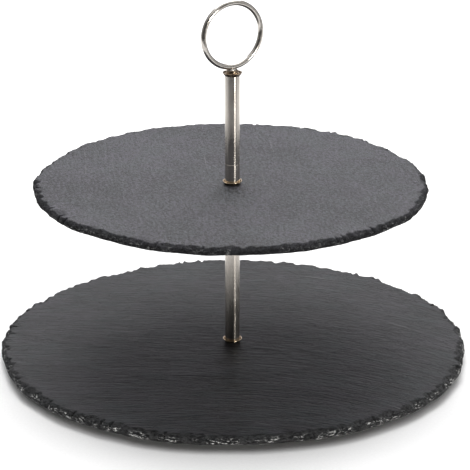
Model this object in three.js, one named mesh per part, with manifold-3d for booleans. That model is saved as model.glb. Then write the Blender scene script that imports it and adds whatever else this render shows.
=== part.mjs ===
// Two-tier slate cake stand: two hand-cut round slates on a tubular steel post, with a ring handle on top.
// The post is two tubes. Threaded inserts in their ends take a bolt from below, a joining stud
// through the upper slate, and the stud of the ring handle. Cup washers spread the load on the slates.
// Millimetres, +Z up, origin on the post's axis at the level that the feet stand on.
import * as THREE from "three";
import { mergeVertices } from "three/addons/utils/BufferGeometryUtils.js";
import Module from "manifold-3d";

// Slates
const LOWER_SLATE_RADIUS = 150;
const LOWER_SLATE_THICKNESS = 5.5;
const LOWER_SLATE_BEVEL = 5;
const UPPER_SLATE_RADIUS = 125;
const UPPER_SLATE_THICKNESS = 5;
const UPPER_SLATE_BEVEL = 3;
const UNDERCUT = 0.7; // how far the rim turns in again at the underside
// Each hole is drilled by hand, off the middle of the cut outline: the middle, seen from the hole.
const LOWER_SLATE_MIDDLE = [2.2, 2.2];
const UPPER_SLATE_MIDDLE = [3.2, 7.4];

// Post
const LOWER_TUBE_LENGTH = 100;
const UPPER_TUBE_LENGTH = 70;
const TUBE_RADIUS = 4.75;
const TUBE_WALL = 1;
const TUBE_CHAMFER = 0.3;
const SEAM_HEIGHT = 12.5; // turned line on the upper tube, above its foot
const SEAM_DEPTH = 0.15;
const INSERT_LENGTH = 11;
const INSERT_SINK = 0.2; // below the end of the tube
const THREAD_RADIUS = 2.5; // M5, modelled as a plain cylinder at the thread's crests
const THREAD_ENGAGEMENT = 8; // length of thread held inside each tube
const THREAD_CHAMFER = 0.5;

// Washers
const CUP_FLARE = 1.15; // how far the cup's rim stands out from the edge of its floor
const CUP_HEIGHT = 1.8;
const CUP_SHEET = 0.6;
const PAD_INSET = 0.1; // soft washer between slate and metal, smaller than the cup's floor
const PAD_THICKNESS = 0.3;
const FLAT_WASHER_RADIUS = 7.5;
const FLAT_WASHER_THICKNESS = 1;

// Base bolt and feet
const BOLT_HEAD_RADIUS = 5;
const BOLT_HEAD_HEIGHT = 2;
const HEX_SOCKET_WIDTH = 3; // across flats
const HEX_SOCKET_DEPTH = 1.2;
const FOOT_COUNT = 4;
const FOOT_RADIUS = 6;
const FOOT_HEIGHT = 5;
const FOOT_INSET = 32; // from the slate's rim to the middle of a foot

// Ring handle
const RING_RADIUS = 20.25; // to the middle of the wire
const RING_WIRE_RADIUS = 1.75;
const COLLAR_RADIUS = 3.8;
const COLLAR_HEIGHT = 2.6;

// Clearances
const SEAT_GAP = 0.1; // between faces that bear on each other
const WELD_GAP = 0.3; // between the collar and the round wire above it
const INSERT_CLEARANCE = 0.1; // insert to tube, on the radius
const THREAD_CLEARANCE = 0.12; // stud to insert, on the radius
const HOLE_CLEARANCE = 0.4; // stud or bolt to a washer's hole, on the radius
const SLATE_HOLE_CLEARANCE = 0.75; // stud or bolt to a slate's hole, on the radius
const CUP_CLEARANCE = 0.25; // tube to the cup's wall, on the radius

// Hand-cut outline: waves round the rim, each with its count, height and phase. The two slates are cut alike
// here, and the upper one's waves are turned so that no flat spot sits above another.
const LOWER_RIM_TURN = 0;
const UPPER_RIM_TURN = 2.1;
const RIM_WAVES = [
  [2, 0.35, 0.4],
  [5, 0.4, 1.9],
  [9, 0.35, 4.1],
  [16, 0.3, 2.6],
  [27, 0.25, 5.2],
];

// Facets round each kind of turned piece
const SLATE_FACETS = 108;
const TUBE_FACETS = 40;
const WASHER_FACETS = 32;
const THREAD_FACETS = 20;
const FOOT_FACETS = 20;
const RING_FACETS = 56;
const WIRE_FACETS = 12;

// Levels, worked out from the feet up
const WASHERS = 3 * SEAT_GAP + PAD_THICKNESS + CUP_SHEET; // from a slate's face to the end of a tube
const LOWER_SLATE_BOTTOM = FOOT_HEIGHT + SEAT_GAP;
const LOWER_SLATE_TOP = LOWER_SLATE_BOTTOM + LOWER_SLATE_THICKNESS;
const LOWER_TUBE_BOTTOM = LOWER_SLATE_TOP + WASHERS;
const LOWER_TUBE_TOP = LOWER_TUBE_BOTTOM + LOWER_TUBE_LENGTH;
const UPPER_SLATE_BOTTOM = LOWER_TUBE_TOP + WASHERS;
const UPPER_SLATE_TOP = UPPER_SLATE_BOTTOM + UPPER_SLATE_THICKNESS;
const UPPER_TUBE_BOTTOM = UPPER_SLATE_TOP + WASHERS;
const UPPER_TUBE_TOP = UPPER_TUBE_BOTTOM + UPPER_TUBE_LENGTH;
const TOP_CUP_BOTTOM = UPPER_TUBE_TOP + SEAT_GAP;
const COLLAR_BOTTOM = TOP_CUP_BOTTOM + CUP_SHEET + SEAT_GAP;
const COLLAR_TOP = COLLAR_BOTTOM + COLLAR_HEIGHT;
const RING_MIDDLE = COLLAR_TOP + WELD_GAP + RING_WIRE_RADIUS + RING_RADIUS;
const BASE_PAD_BOTTOM = LOWER_SLATE_BOTTOM - SEAT_GAP - PAD_THICKNESS;
const BASE_WASHER_BOTTOM = BASE_PAD_BOTTOM - SEAT_GAP - FLAT_WASHER_THICKNESS;
const BOLT_SEAT = BASE_WASHER_BOTTOM - SEAT_GAP;

const WASHER_HOLE_RADIUS = THREAD_RADIUS + HOLE_CLEARANCE;
const SLATE_HOLE_RADIUS = THREAD_RADIUS + SLATE_HOLE_CLEARANCE;
const INSERT_BORE_RADIUS = THREAD_RADIUS + THREAD_CLEARANCE;
const CUP_FLOOR_RADIUS = TUBE_RADIUS + CUP_CLEARANCE;
const CUP_RIM_RADIUS = CUP_FLOOR_RADIUS + CUP_FLARE;
const PAD_RADIUS = CUP_FLOOR_RADIUS - PAD_INSET;

const wasm = await Module();
wasm.setup();

const material = {
  slate: new THREE.MeshStandardMaterial({ color: 0x4a4a4d, roughness: 0.75, metalness: 0 }),
  brushedSteel: new THREE.MeshStandardMaterial({ color: 0xb4b0aa, roughness: 0.32, metalness: 1 }),
  nickel: new THREE.MeshStandardMaterial({ color: 0xcdbfae, roughness: 0.14, metalness: 1 }),
  polishedSteel: new THREE.MeshStandardMaterial({ color: 0xc4c1bc, roughness: 0.1, metalness: 1 }),
  brass: new THREE.MeshStandardMaterial({ color: 0xb08a4a, roughness: 0.35, metalness: 1 }),
  zincSteel: new THREE.MeshStandardMaterial({ color: 0xa9abad, roughness: 0.4, metalness: 1 }),
  fibre: new THREE.MeshStandardMaterial({ color: 0x1c1a18, roughness: 0.85, metalness: 0 }),
  rubber: new THREE.MeshStandardMaterial({ color: 0x202022, roughness: 0.9, metalness: 0 }),
};

// A solid of revolution about +Z from points [radius, height]. The profile runs round the section with the
// material on its left. One that begins and ends on the axis is a solid rod, and any other closes on itself.
function turned(profile, facets) {
  const points = profile.map(([radius, height]) => new THREE.Vector2(radius, height));
  const onAxis = profile[0][0] === 0 && profile.at(-1)[0] === 0;
  if (!onAxis) points.push(points[0].clone());
  return new THREE.LatheGeometry(points, facets).rotateX(Math.PI / 2);
}

function piece(name, geometry, finish, height = 0) {
  const mesh = new THREE.Mesh(geometry, finish);
  mesh.name = name;
  mesh.position.z = height;
  return mesh;
}

function group(...pieces) {
  return new THREE.Group().add(...pieces);
}

function washerGeometry(innerRadius, outerRadius, thickness) {
  return turned(
    [
      [innerRadius, 0],
      [outerRadius, 0],
      [outerRadius, thickness],
      [innerRadius, thickness],
    ],
    WASHER_FACETS,
  );
}

// Height of the hand-cut outline over its mean circle at an angle round the rim.
function rimWave(angle) {
  return RIM_WAVES.reduce((sum, [count, height, phase]) => sum + height * Math.sin(count * angle + phase), 0);
}

// A round slate with its dressed rim: narrow at the top face, widest low down. The outline waves about its
// own middle, and the drilled hole stays on the axis.
function slateGeometry(radius, thickness, bevel, middle, turn) {
  const geometry = turned(
    [
      [SLATE_HOLE_RADIUS, 0],
      [radius - UNDERCUT, 0],
      [radius, 0.25 * thickness],
      [radius - 0.45 * bevel, 0.7 * thickness],
      [radius - bevel, thickness],
      [SLATE_HOLE_RADIUS, thickness],
    ],
    SLATE_FACETS,
  );
  const corner = new THREE.Vector3();
  const position = geometry.getAttribute("position");
  for (let i = 0; i < position.count; i++) {
    corner.fromBufferAttribute(position, i);
    const reach = Math.hypot(corner.x, corner.y);
    if (reach < radius / 2) continue;
    const stretch = (reach + rimWave(Math.atan2(corner.y, corner.x) + turn)) / reach;
    position.setXY(i, corner.x * stretch + middle[0], corner.y * stretch + middle[1]);
  }
  return geometry;
}

function tubeGeometry(length, seamHeight) {
  const inner = TUBE_RADIUS - TUBE_WALL;
  const seam = seamHeight
    ? [
        [TUBE_RADIUS, seamHeight - SEAM_DEPTH],
        [TUBE_RADIUS - SEAM_DEPTH, seamHeight],
        [TUBE_RADIUS, seamHeight + SEAM_DEPTH],
      ]
    : [];
  return turned(
    [
      [inner, 0],
      [TUBE_RADIUS - TUBE_CHAMFER, 0],
      [TUBE_RADIUS, TUBE_CHAMFER],
      ...seam,
      [TUBE_RADIUS, length - TUBE_CHAMFER],
      [TUBE_RADIUS - TUBE_CHAMFER, length],
      [inner, length],
    ],
    TUBE_FACETS,
  );
}

function insertGeometry() {
  const outer = TUBE_RADIUS - TUBE_WALL - INSERT_CLEARANCE;
  return turned(
    [
      [INSERT_BORE_RADIUS, 0],
      [outer, 0],
      [outer, INSERT_LENGTH],
      [INSERT_BORE_RADIUS, INSERT_LENGTH],
    ],
    THREAD_FACETS,
  );
}

// A dished washer whose flat floor the tube stands on, and whose wall flares up to a rounded lip.
function cupWasherGeometry() {
  const lip = CUP_SHEET / 2;
  return turned(
    [
      [WASHER_HOLE_RADIUS, 0],
      [CUP_FLOOR_RADIUS - lip, 0],
      [CUP_FLOOR_RADIUS + lip, lip],
      [CUP_RIM_RADIUS, CUP_HEIGHT - lip],
      [CUP_RIM_RADIUS - lip, CUP_HEIGHT],
      [CUP_RIM_RADIUS - CUP_SHEET, CUP_HEIGHT - lip],
      [CUP_FLOOR_RADIUS, CUP_SHEET],
      [WASHER_HOLE_RADIUS, CUP_SHEET],
    ],
    WASHER_FACETS,
  );
}

function studGeometry(length) {
  return turned(
    [
      [0, 0],
      [THREAD_RADIUS - THREAD_CHAMFER, 0],
      [THREAD_RADIUS, THREAD_CHAMFER],
      [THREAD_RADIUS, length - THREAD_CHAMFER],
      [THREAD_RADIUS - THREAD_CHAMFER, length],
      [0, length],
    ],
    THREAD_FACETS,
  );
}

function solidOf(geometry) {
  const bare = geometry.index ? geometry.toNonIndexed() : geometry.clone();
  bare.deleteAttribute("normal");
  bare.deleteAttribute("uv");
  const merged = mergeVertices(bare, 1e-4);
  return new wasm.Manifold(
    new wasm.Mesh({
      numProp: 3,
      vertProperties: new Float32Array(merged.getAttribute("position").array),
      triVerts: new Uint32Array(merged.index.array),
    }),
  );
}

function geometryOf(solid) {
  const mesh = solid.getMesh();
  return new THREE.BufferGeometry()
    .setAttribute("position", new THREE.BufferAttribute(mesh.vertProperties, mesh.numProp))
    .setIndex(new THREE.BufferAttribute(mesh.triVerts, 1));
}

// Low-headed bolt with a hexagon socket. Height 0 is the face under the head, and the shank points up.
function baseBoltGeometry(length) {
  const round = 0.6;
  const bolt = turned(
    [
      [0, -BOLT_HEAD_HEIGHT],
      [BOLT_HEAD_RADIUS - round, -BOLT_HEAD_HEIGHT],
      [BOLT_HEAD_RADIUS, round - BOLT_HEAD_HEIGHT],
      [BOLT_HEAD_RADIUS, 0],
      [THREAD_RADIUS, 0],
      [THREAD_RADIUS, length - THREAD_CHAMFER],
      [THREAD_RADIUS - THREAD_CHAMFER, length],
      [0, length],
    ],
    WASHER_FACETS,
  );
  const cornerRadius = HEX_SOCKET_WIDTH / Math.sqrt(3);
  const socket = new THREE.CylinderGeometry(cornerRadius, cornerRadius, 2 * HEX_SOCKET_DEPTH, 6)
    .rotateX(Math.PI / 2)
    .translate(0, 0, -BOLT_HEAD_HEIGHT);
  return geometryOf(solidOf(bolt).subtract(solidOf(socket)));
}

function footGeometry() {
  const round = 1;
  return turned(
    [
      [0, 0],
      [FOOT_RADIUS - 1.5 * round, 0],
      [FOOT_RADIUS - 0.5 * round, 0.5 * round],
      [FOOT_RADIUS, FOOT_HEIGHT - round],
      [FOOT_RADIUS, FOOT_HEIGHT],
      [0, FOOT_HEIGHT],
    ],
    FOOT_FACETS,
  );
}

function ringGeometry() {
  const torus = new THREE.TorusGeometry(RING_RADIUS, RING_WIRE_RADIUS, WIRE_FACETS, RING_FACETS);
  return torus.rotateX(Math.PI / 2);
}

function collarGeometry() {
  const neck = 0.5;
  return turned(
    [
      [INSERT_BORE_RADIUS, 0],
      [COLLAR_RADIUS, 0],
      [COLLAR_RADIUS, 0.35 * COLLAR_HEIGHT],
      [COLLAR_RADIUS - neck, 0.5 * COLLAR_HEIGHT],
      [COLLAR_RADIUS, 0.65 * COLLAR_HEIGHT],
      [COLLAR_RADIUS - neck / 2, COLLAR_HEIGHT],
      [INSERT_BORE_RADIUS, COLLAR_HEIGHT],
    ],
    WASHER_FACETS,
  );
}

function padWasher(name, height) {
  return piece(name, washerGeometry(WASHER_HOLE_RADIUS, PAD_RADIUS, PAD_THICKNESS), material.fibre, height);
}

function cupWasher(name, height) {
  return piece(name, cupWasherGeometry(), material.nickel, height);
}

// The same washer turned over, with its floor's face at the given height and its lip below.
function hangingCupWasher(name, height) {
  const washer = cupWasher(name, height);
  washer.rotation.x = Math.PI;
  return washer;
}

function tubeWithInserts(name, bottom, length, seamHeight) {
  const topInsertBottom = bottom + length - INSERT_SINK - INSERT_LENGTH;
  return group(
    piece(name, tubeGeometry(length, seamHeight), material.brushedSteel, bottom),
    piece(name + "_bottom_insert", insertGeometry(), material.brass, bottom + INSERT_SINK),
    piece(name + "_top_insert", insertGeometry(), material.brass, topInsertBottom),
  );
}

function feet() {
  const ring = LOWER_SLATE_RADIUS - FOOT_INSET;
  return Array.from({ length: FOOT_COUNT }, (_, i) => {
    const angle = (i + 0.5) * ((2 * Math.PI) / FOOT_COUNT);
    const foot = piece("foot_" + (i + 1), footGeometry(), material.rubber);
    foot.position.set(ring * Math.cos(angle), ring * Math.sin(angle), 0);
    return foot;
  });
}

function lowerTier() {
  const slate = slateGeometry(
    LOWER_SLATE_RADIUS,
    LOWER_SLATE_THICKNESS,
    LOWER_SLATE_BEVEL,
    LOWER_SLATE_MIDDLE,
    LOWER_RIM_TURN,
  );
  return group(
    piece("lower_slate", slate, material.slate, LOWER_SLATE_BOTTOM),
    ...feet(),
    padWasher("lower_pad_washer", LOWER_SLATE_TOP + SEAT_GAP),
    cupWasher("lower_cup_washer", LOWER_TUBE_BOTTOM - SEAT_GAP - CUP_SHEET),
  );
}

function baseFastening() {
  const length = LOWER_TUBE_BOTTOM + THREAD_ENGAGEMENT - BOLT_SEAT;
  const washer = washerGeometry(WASHER_HOLE_RADIUS, FLAT_WASHER_RADIUS, FLAT_WASHER_THICKNESS);
  return group(
    padWasher("base_pad_washer", BASE_PAD_BOTTOM),
    piece("base_washer", washer, material.zincSteel, BASE_WASHER_BOTTOM),
    piece("base_bolt", baseBoltGeometry(length), material.zincSteel, BOLT_SEAT),
  );
}

function upperTier() {
  const slate = slateGeometry(
    UPPER_SLATE_RADIUS,
    UPPER_SLATE_THICKNESS,
    UPPER_SLATE_BEVEL,
    UPPER_SLATE_MIDDLE,
    UPPER_RIM_TURN,
  );
  const studBottom = LOWER_TUBE_TOP - THREAD_ENGAGEMENT;
  const studLength = UPPER_TUBE_BOTTOM + THREAD_ENGAGEMENT - studBottom;
  return group(
    piece("joining_stud", studGeometry(studLength), material.zincSteel, studBottom),
    hangingCupWasher("under_tier_cup_washer", LOWER_TUBE_TOP + SEAT_GAP + CUP_SHEET),
    padWasher("under_tier_pad_washer", UPPER_SLATE_BOTTOM - SEAT_GAP - PAD_THICKNESS),
    piece("upper_slate", slate, material.slate, UPPER_SLATE_BOTTOM),
    padWasher("upper_pad_washer", UPPER_SLATE_TOP + SEAT_GAP),
    cupWasher("upper_cup_washer", UPPER_TUBE_BOTTOM - SEAT_GAP - CUP_SHEET),
  );
}

function ringHandle() {
  const studBottom = UPPER_TUBE_TOP - THREAD_ENGAGEMENT;
  return group(
    cupWasher("top_cup_washer", TOP_CUP_BOTTOM),
    piece("ring_stud", studGeometry(COLLAR_TOP - SEAT_GAP - studBottom), material.zincSteel, studBottom),
    piece("ring_collar", collarGeometry(), material.nickel, COLLAR_BOTTOM),
    piece("ring_handle", ringGeometry(), material.polishedSteel, RING_MIDDLE),
  );
}

const stand = group(
  lowerTier(),
  baseFastening(),
  tubeWithInserts("lower_tube", LOWER_TUBE_BOTTOM, LOWER_TUBE_LENGTH),
  upperTier(),
  tubeWithInserts("upper_tube", UPPER_TUBE_BOTTOM, UPPER_TUBE_LENGTH, SEAM_HEIGHT),
  ringHandle(),
);

export default stand;
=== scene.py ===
"""Looks of a two-tier slate cake stand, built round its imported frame.

Two hand-dressed round slates sit on a steel tube post with a ring handle. Blender's units are metres, in
the frame's own axes: +Z up, the post on the Z axis, the feet on Z = 0. The meshes are worked out in
millimetres and scaled once, as they are made. Places and overall sizes are read from the frame's nodes. The
fields of the classes below are the sizes of the finer surface that the frame leaves out.
"""

import logging
import math
from collections.abc import Mapping, Sequence
from dataclasses import dataclass, field
from enum import Enum
from typing import NamedTuple
import bpy
import numpy as np
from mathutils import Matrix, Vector


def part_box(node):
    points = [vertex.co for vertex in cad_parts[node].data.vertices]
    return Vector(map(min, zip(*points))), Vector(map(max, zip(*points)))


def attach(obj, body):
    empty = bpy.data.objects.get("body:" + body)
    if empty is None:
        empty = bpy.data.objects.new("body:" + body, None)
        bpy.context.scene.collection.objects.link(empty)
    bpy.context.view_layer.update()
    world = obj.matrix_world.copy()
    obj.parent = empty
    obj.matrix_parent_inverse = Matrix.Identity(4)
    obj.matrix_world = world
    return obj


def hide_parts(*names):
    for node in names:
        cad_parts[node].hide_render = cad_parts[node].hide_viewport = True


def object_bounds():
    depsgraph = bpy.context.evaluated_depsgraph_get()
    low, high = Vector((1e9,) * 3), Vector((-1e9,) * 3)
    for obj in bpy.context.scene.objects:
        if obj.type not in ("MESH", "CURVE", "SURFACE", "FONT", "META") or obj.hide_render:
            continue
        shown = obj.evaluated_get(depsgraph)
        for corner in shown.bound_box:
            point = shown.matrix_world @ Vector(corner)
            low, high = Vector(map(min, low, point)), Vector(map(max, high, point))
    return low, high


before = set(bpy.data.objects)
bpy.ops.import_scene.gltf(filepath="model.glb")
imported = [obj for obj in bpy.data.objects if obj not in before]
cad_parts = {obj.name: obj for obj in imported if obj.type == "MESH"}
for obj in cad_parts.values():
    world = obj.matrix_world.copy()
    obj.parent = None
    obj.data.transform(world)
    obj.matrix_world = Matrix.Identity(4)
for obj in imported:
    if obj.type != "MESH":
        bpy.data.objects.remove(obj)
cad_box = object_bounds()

MM = 0.001
TAU = 2 * math.pi

Array = np.ndarray
Colour = tuple[float, float, float]
Piece = bpy.types.Object
Socket = bpy.types.NodeSocket
log = logging.getLogger("cake_stand")


def colour4(colour: Colour) -> tuple[float, float, float, float]:
    """Gives a colour its opaque fourth number."""
    return (*colour, 1.0)


def smooth(value: Array, low: float, high: float) -> Array:
    """Eases a value from 0 at low to 1 at high."""
    share = np.clip((value - low) / (high - low), 0.0, 1.0)
    return share * share * (3 - 2 * share)


def circle(count: int) -> Array:
    """Gives evenly spaced angles all the way round."""
    return np.arange(count) * TAU / count


def spun(radii: Array | float, angles: Array) -> tuple[Array, Array]:
    """Gives the two level coordinates of points at radii and angles about the Z axis."""
    return radii * np.cos(angles), radii * np.sin(angles)


def arc_between(angles: Array, middle: float) -> Array:
    """Gives the short way round from one angle to others, in radians either way."""
    return (angles - middle + math.pi) % TAU - math.pi


class GradientNoise:
    """Smooth seeded noise over a plane, with one bump in each unit square."""

    TABLE = 256
    HIGHEST = 0.7  # as far as it goes from 0, either way

    def __init__(self, seed: int) -> None:
        """Draws the lattice's table of directions from the seed."""
        draw = np.random.default_rng(seed)
        self.order = draw.permutation(self.TABLE)
        turns = draw.uniform(0.0, TAU, self.TABLE)
        self.east, self.north = np.cos(turns), np.sin(turns)

    def at(self, x: Array, y: Array | float) -> Array:
        """Reads the noise at points.

        Args:
            x: The points' first coordinates.
            y: The points' second coordinates.

        Returns:
            One number for each point.
        """
        column, row = np.floor(x).astype(int), np.floor(y).astype(int)
        across, up = x - column, y - row
        ease_x, ease_y = smooth(across, 0, 1), smooth(up, 0, 1)

        def corner(right: int, above: int) -> Array:
            """The slope's height seen from one corner of each point's square."""
            slot = self.order[(self.order[(column + right) % self.TABLE] + row + above) % self.TABLE]
            return self.east[slot] * (across - right) + self.north[slot] * (up - above)

        low = corner(0, 0) * (1 - ease_x) + corner(1, 0) * ease_x
        high = corner(0, 1) * (1 - ease_x) + corner(1, 1) * ease_x
        return low * (1 - ease_y) + high * ease_y

    def fractal(self, x: Array, y: Array | float, octaves: int, gain: float = 0.5) -> Array:
        """Adds up the noise at finer and finer scales.

        Args:
            x: The points' first coordinates.
            y: The points' second coordinates.
            octaves: How many scales, each twice as fine as the one before.
            gain: Each scale's height as a share of the one before.

        Returns:
            One number for each point.
        """
        total = np.zeros_like(x, dtype=float)
        for octave in range(octaves):
            total += gain**octave * self.at(x * 2**octave + 7.3 * octave, y * 2**octave - 3.1 * octave)
        return total


# --- Meshes ---------------------------------------------------------------------------------------


class Wall(Enum):
    """How a row of a turned piece runs round its axis."""

    ROUND = "round"
    HEXAGON = "hexagon"
    THREAD = "thread"
    BORE_THREAD = "bore thread"
    KNURL = "knurl"


class Row(NamedTuple):
    """One row of a turned piece: its radius, its height and how it runs round."""

    radius: float
    height: float
    wall: Wall = Wall.ROUND


class Corner(NamedTuple):
    """One corner of a section: its radius, its height and the size of its fillet."""

    radius: float
    height: float
    fillet: float = 0.0


@dataclass(frozen=True)
class Thread:
    """The screw thread that every stud, bolt and insert here shares, in millimetres."""

    crest: float = 2.5
    pitch: float = 0.8
    depth: float = 0.42
    bore_root: float = 2.86
    bore_depth: float = 0.28
    steepness: float = 1.3
    flat: float = 0.15  # how much of the depth the flat crests and roots take
    neck: float = 0.05
    rows_per_turn: int = 8

    @property
    def root(self) -> float:
        """The radius of a plain stretch a little under the thread's root."""
        return self.crest - self.depth - self.neck

    def ridge(self, angles: Array, height: float) -> Array:
        """The thread's height round one level, from 0 in the root to 1 on the crest."""
        phase = (height / self.pitch - angles / TAU) % 1.0
        return np.clip(self.steepness * (1 - np.abs(2 * phase - 1)) - self.flat, 0.0, 1.0)

    def rows(self, bottom: float, top: float, wall: Wall) -> list[Row]:
        """The rows that carry a thread between two levels.

        Args:
            bottom: The first level.
            top: The last level, which may be below the first.
            wall: A thread on the outside or in a bore.

        Returns:
            Rows close enough together to show each turn.
        """
        count = max(2, round(abs(top - bottom) / self.pitch * self.rows_per_turn))
        radius = self.crest if wall is Wall.THREAD else self.bore_root
        return [Row(radius, float(level), wall) for level in np.linspace(bottom, top, count + 1)]


THREAD = Thread()
KNURL_COUNT = 36
KNURL_DEPTH = 0.14
FILLET_SHARE = 0.48  # the most of a side that the fillet at one of its ends takes


def row_radii(row: Row, angles: Array) -> Array:
    """The radius of a turned piece's row at each angle.

    Args:
        row: The row.
        angles: Angles round the axis.

    Returns:
        One radius for each angle.
    """
    radii = np.full(len(angles), row.radius)
    if row.wall is Wall.HEXAGON:
        return radii / np.cos((angles % (TAU / 6)) - TAU / 12)
    if row.wall is Wall.THREAD:
        return radii - THREAD.depth * (1 - THREAD.ridge(angles, row.height))
    if row.wall is Wall.BORE_THREAD:
        return radii - THREAD.bore_depth * THREAD.ridge(angles, row.height)
    if row.wall is Wall.KNURL:
        return radii - KNURL_DEPTH * (0.5 - 0.5 * np.cos(KNURL_COUNT * angles))
    return radii


def rounded(corners: Sequence[Corner], closed: bool = True, steps: int = 5) -> list[Row]:
    """Rounds the corners of a section with arcs.

    Args:
        corners: The section's corners, running anticlockwise with the radius to the right.
        closed: Whether the last corner joins the first.
        steps: How many straight pieces each arc has.

    Returns:
        The rows that the rounded section passes through.
    """
    rows: list[Row] = []
    for i, corner in enumerate(corners):
        here = Vector((corner.radius, corner.height))
        if not corner.fillet or (not closed and i in (0, len(corners) - 1)):
            rows.append(Row(*here))
            continue
        back = Vector(corners[i - 1][:2]) - here
        ahead = Vector(corners[(i + 1) % len(corners)][:2]) - here
        half = back.angle(ahead) / 2
        reach = min(corner.fillet / math.tan(half), FILLET_SHARE * min(back.length, ahead.length))
        radius = reach * math.tan(half)
        middle = here + (back.normalized() + ahead.normalized()).normalized() * (radius / math.sin(half))
        start = here + back.normalized() * reach - middle
        end = here + ahead.normalized() * reach - middle
        sweep = start.angle(end)
        for step in range(steps + 1):
            share = step / steps
            arm = start * math.sin((1 - share) * sweep) + end * math.sin(share * sweep)
            rows.append(Row(*(middle + arm / math.sin(sweep))))
    return rows


class RingSkin:
    """A surface made of rings of points about the Z axis, each joined to the one before it.

    Rings run anticlockwise seen from above, and the surface faces out where the rings climb on its outside.
    A ring may have as many points as the last, twice as many or half as many.
    """

    def __init__(self) -> None:
        """Starts with no rings."""
        self.points: list[Array] = []
        self.faces: list[tuple[int, ...]] = []
        self.rings: list[tuple[int, int]] = []

    @property
    def size(self) -> int:
        """How many points there are so far."""
        return sum(len(points) for points in self.points)

    def ring(self, x: Array, y: Array, z: Array | float) -> None:
        """Adds a ring and joins it to the last one.

        Args:
            x: The points' first coordinates.
            y: The points' second coordinates.
            z: Their heights, or the one height they share.
        """
        first = self.size
        self.points.append(np.column_stack([x, y, np.broadcast_to(z, np.shape(x))]))
        self.rings.append((first, len(x)))
        if len(self.rings) > 1:
            self.join(self.rings[-2], self.rings[-1])

    def join(self, one: tuple[int, int], other: tuple[int, int]) -> None:
        """Fills the strip between two rings.

        Args:
            one: The first ring's first point and how many points it has.
            other: The second ring's, in the same way.
        """
        (a, count_a), (b, count_b) = one, other
        count = min(count_a, count_b)
        here = np.arange(count)
        after = (here + 1) % count
        if count_a == count_b:
            strips = [np.column_stack([a + here, a + after, b + after, b + here])]
        elif count_a > count_b:
            middle, far = a + 2 * here + 1, a + 2 * after
            strips = [
                np.column_stack([a + 2 * here, middle, b + here]),
                np.column_stack([middle, b + after, b + here]),
                np.column_stack([middle, far, b + after]),
            ]
        else:
            middle, far = b + 2 * here + 1, b + 2 * after
            strips = [
                np.column_stack([a + here, middle, b + 2 * here]),
                np.column_stack([a + here, a + after, middle]),
                np.column_stack([a + after, far, middle]),
            ]
        for strip in strips:
            self.faces.extend(map(tuple, strip.tolist()))

    def close(self) -> None:
        """Joins the last ring to the first."""
        self.join(self.rings[-1], self.rings[0])

    def cap(self, ring: tuple[int, int], height: float, upward: bool) -> None:
        """Closes a ring with a fan to a point on the axis.

        Args:
            ring: The ring's first point and how many points it has.
            height: The height of the point on the axis.
            upward: Whether the fan faces up.
        """
        first, count = ring
        tip = self.size
        self.points.append(np.array([[0.0, 0.0, height]]))
        steps = np.arange(count)
        here, after = first + steps, first + (steps + 1) % count
        order = [here, after] if upward else [after, here]
        self.faces.extend(map(tuple, np.column_stack([*order, np.full(count, tip)]).tolist()))

    def make(self, name: str, sharp_degrees: float = 32.0) -> Piece:
        """Turns the surface into an object, smooth but for its sharp edges.

        Args:
            name: The object's name.
            sharp_degrees: An edge that turns by more than this is sharp.

        Returns:
            The object, in metres.
        """
        mesh = bpy.data.meshes.new(name)
        mesh.from_pydata((np.concatenate(self.points) * MM).tolist(), [], self.faces)
        mesh.polygons.foreach_set("use_smooth", [True] * len(mesh.polygons))
        mesh.set_sharp_from_angle(angle=math.radians(sharp_degrees))
        mesh.update()
        made = bpy.data.objects.new(name, mesh)
        bpy.context.scene.collection.objects.link(made)
        return made


def turned(name: str, rows: Sequence[Row], segments: int, middle: tuple[float, float]) -> Piece:
    """Makes a piece turned about an upright axis.

    Args:
        name: The object's name.
        rows: Its section, anticlockwise with the radius to the right. A section that starts and ends with a
            radius of 0 is solid on the axis, and any other closes on itself.
        segments: How many points each row has.
        middle: Where the axis stands, in millimetres.

    Returns:
        The object.
    """
    skin = RingSkin()
    angles = circle(segments)
    solid = rows[0].radius == 0 and rows[-1].radius == 0
    for row in rows[1:-1] if solid else rows:
        skin.ring(*spun(row_radii(row, angles), angles), row.height)
    if solid:
        skin.cap(skin.rings[0], rows[0].height, upward=False)
        skin.cap(skin.rings[-1], rows[-1].height, upward=True)
    else:
        skin.close()
    for points in skin.points:
        points[:, :2] += middle
    return skin.make(name)


# --- Finishes -------------------------------------------------------------------------------------


class Texture(NamedTuple):
    """A cloudy noise: bumps per millimetre, finer scales, how strong those are, and how far it bends."""

    per_mm: float
    scales: float = 3.0
    rough: float = 0.6
    bend: float = 0.0


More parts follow.
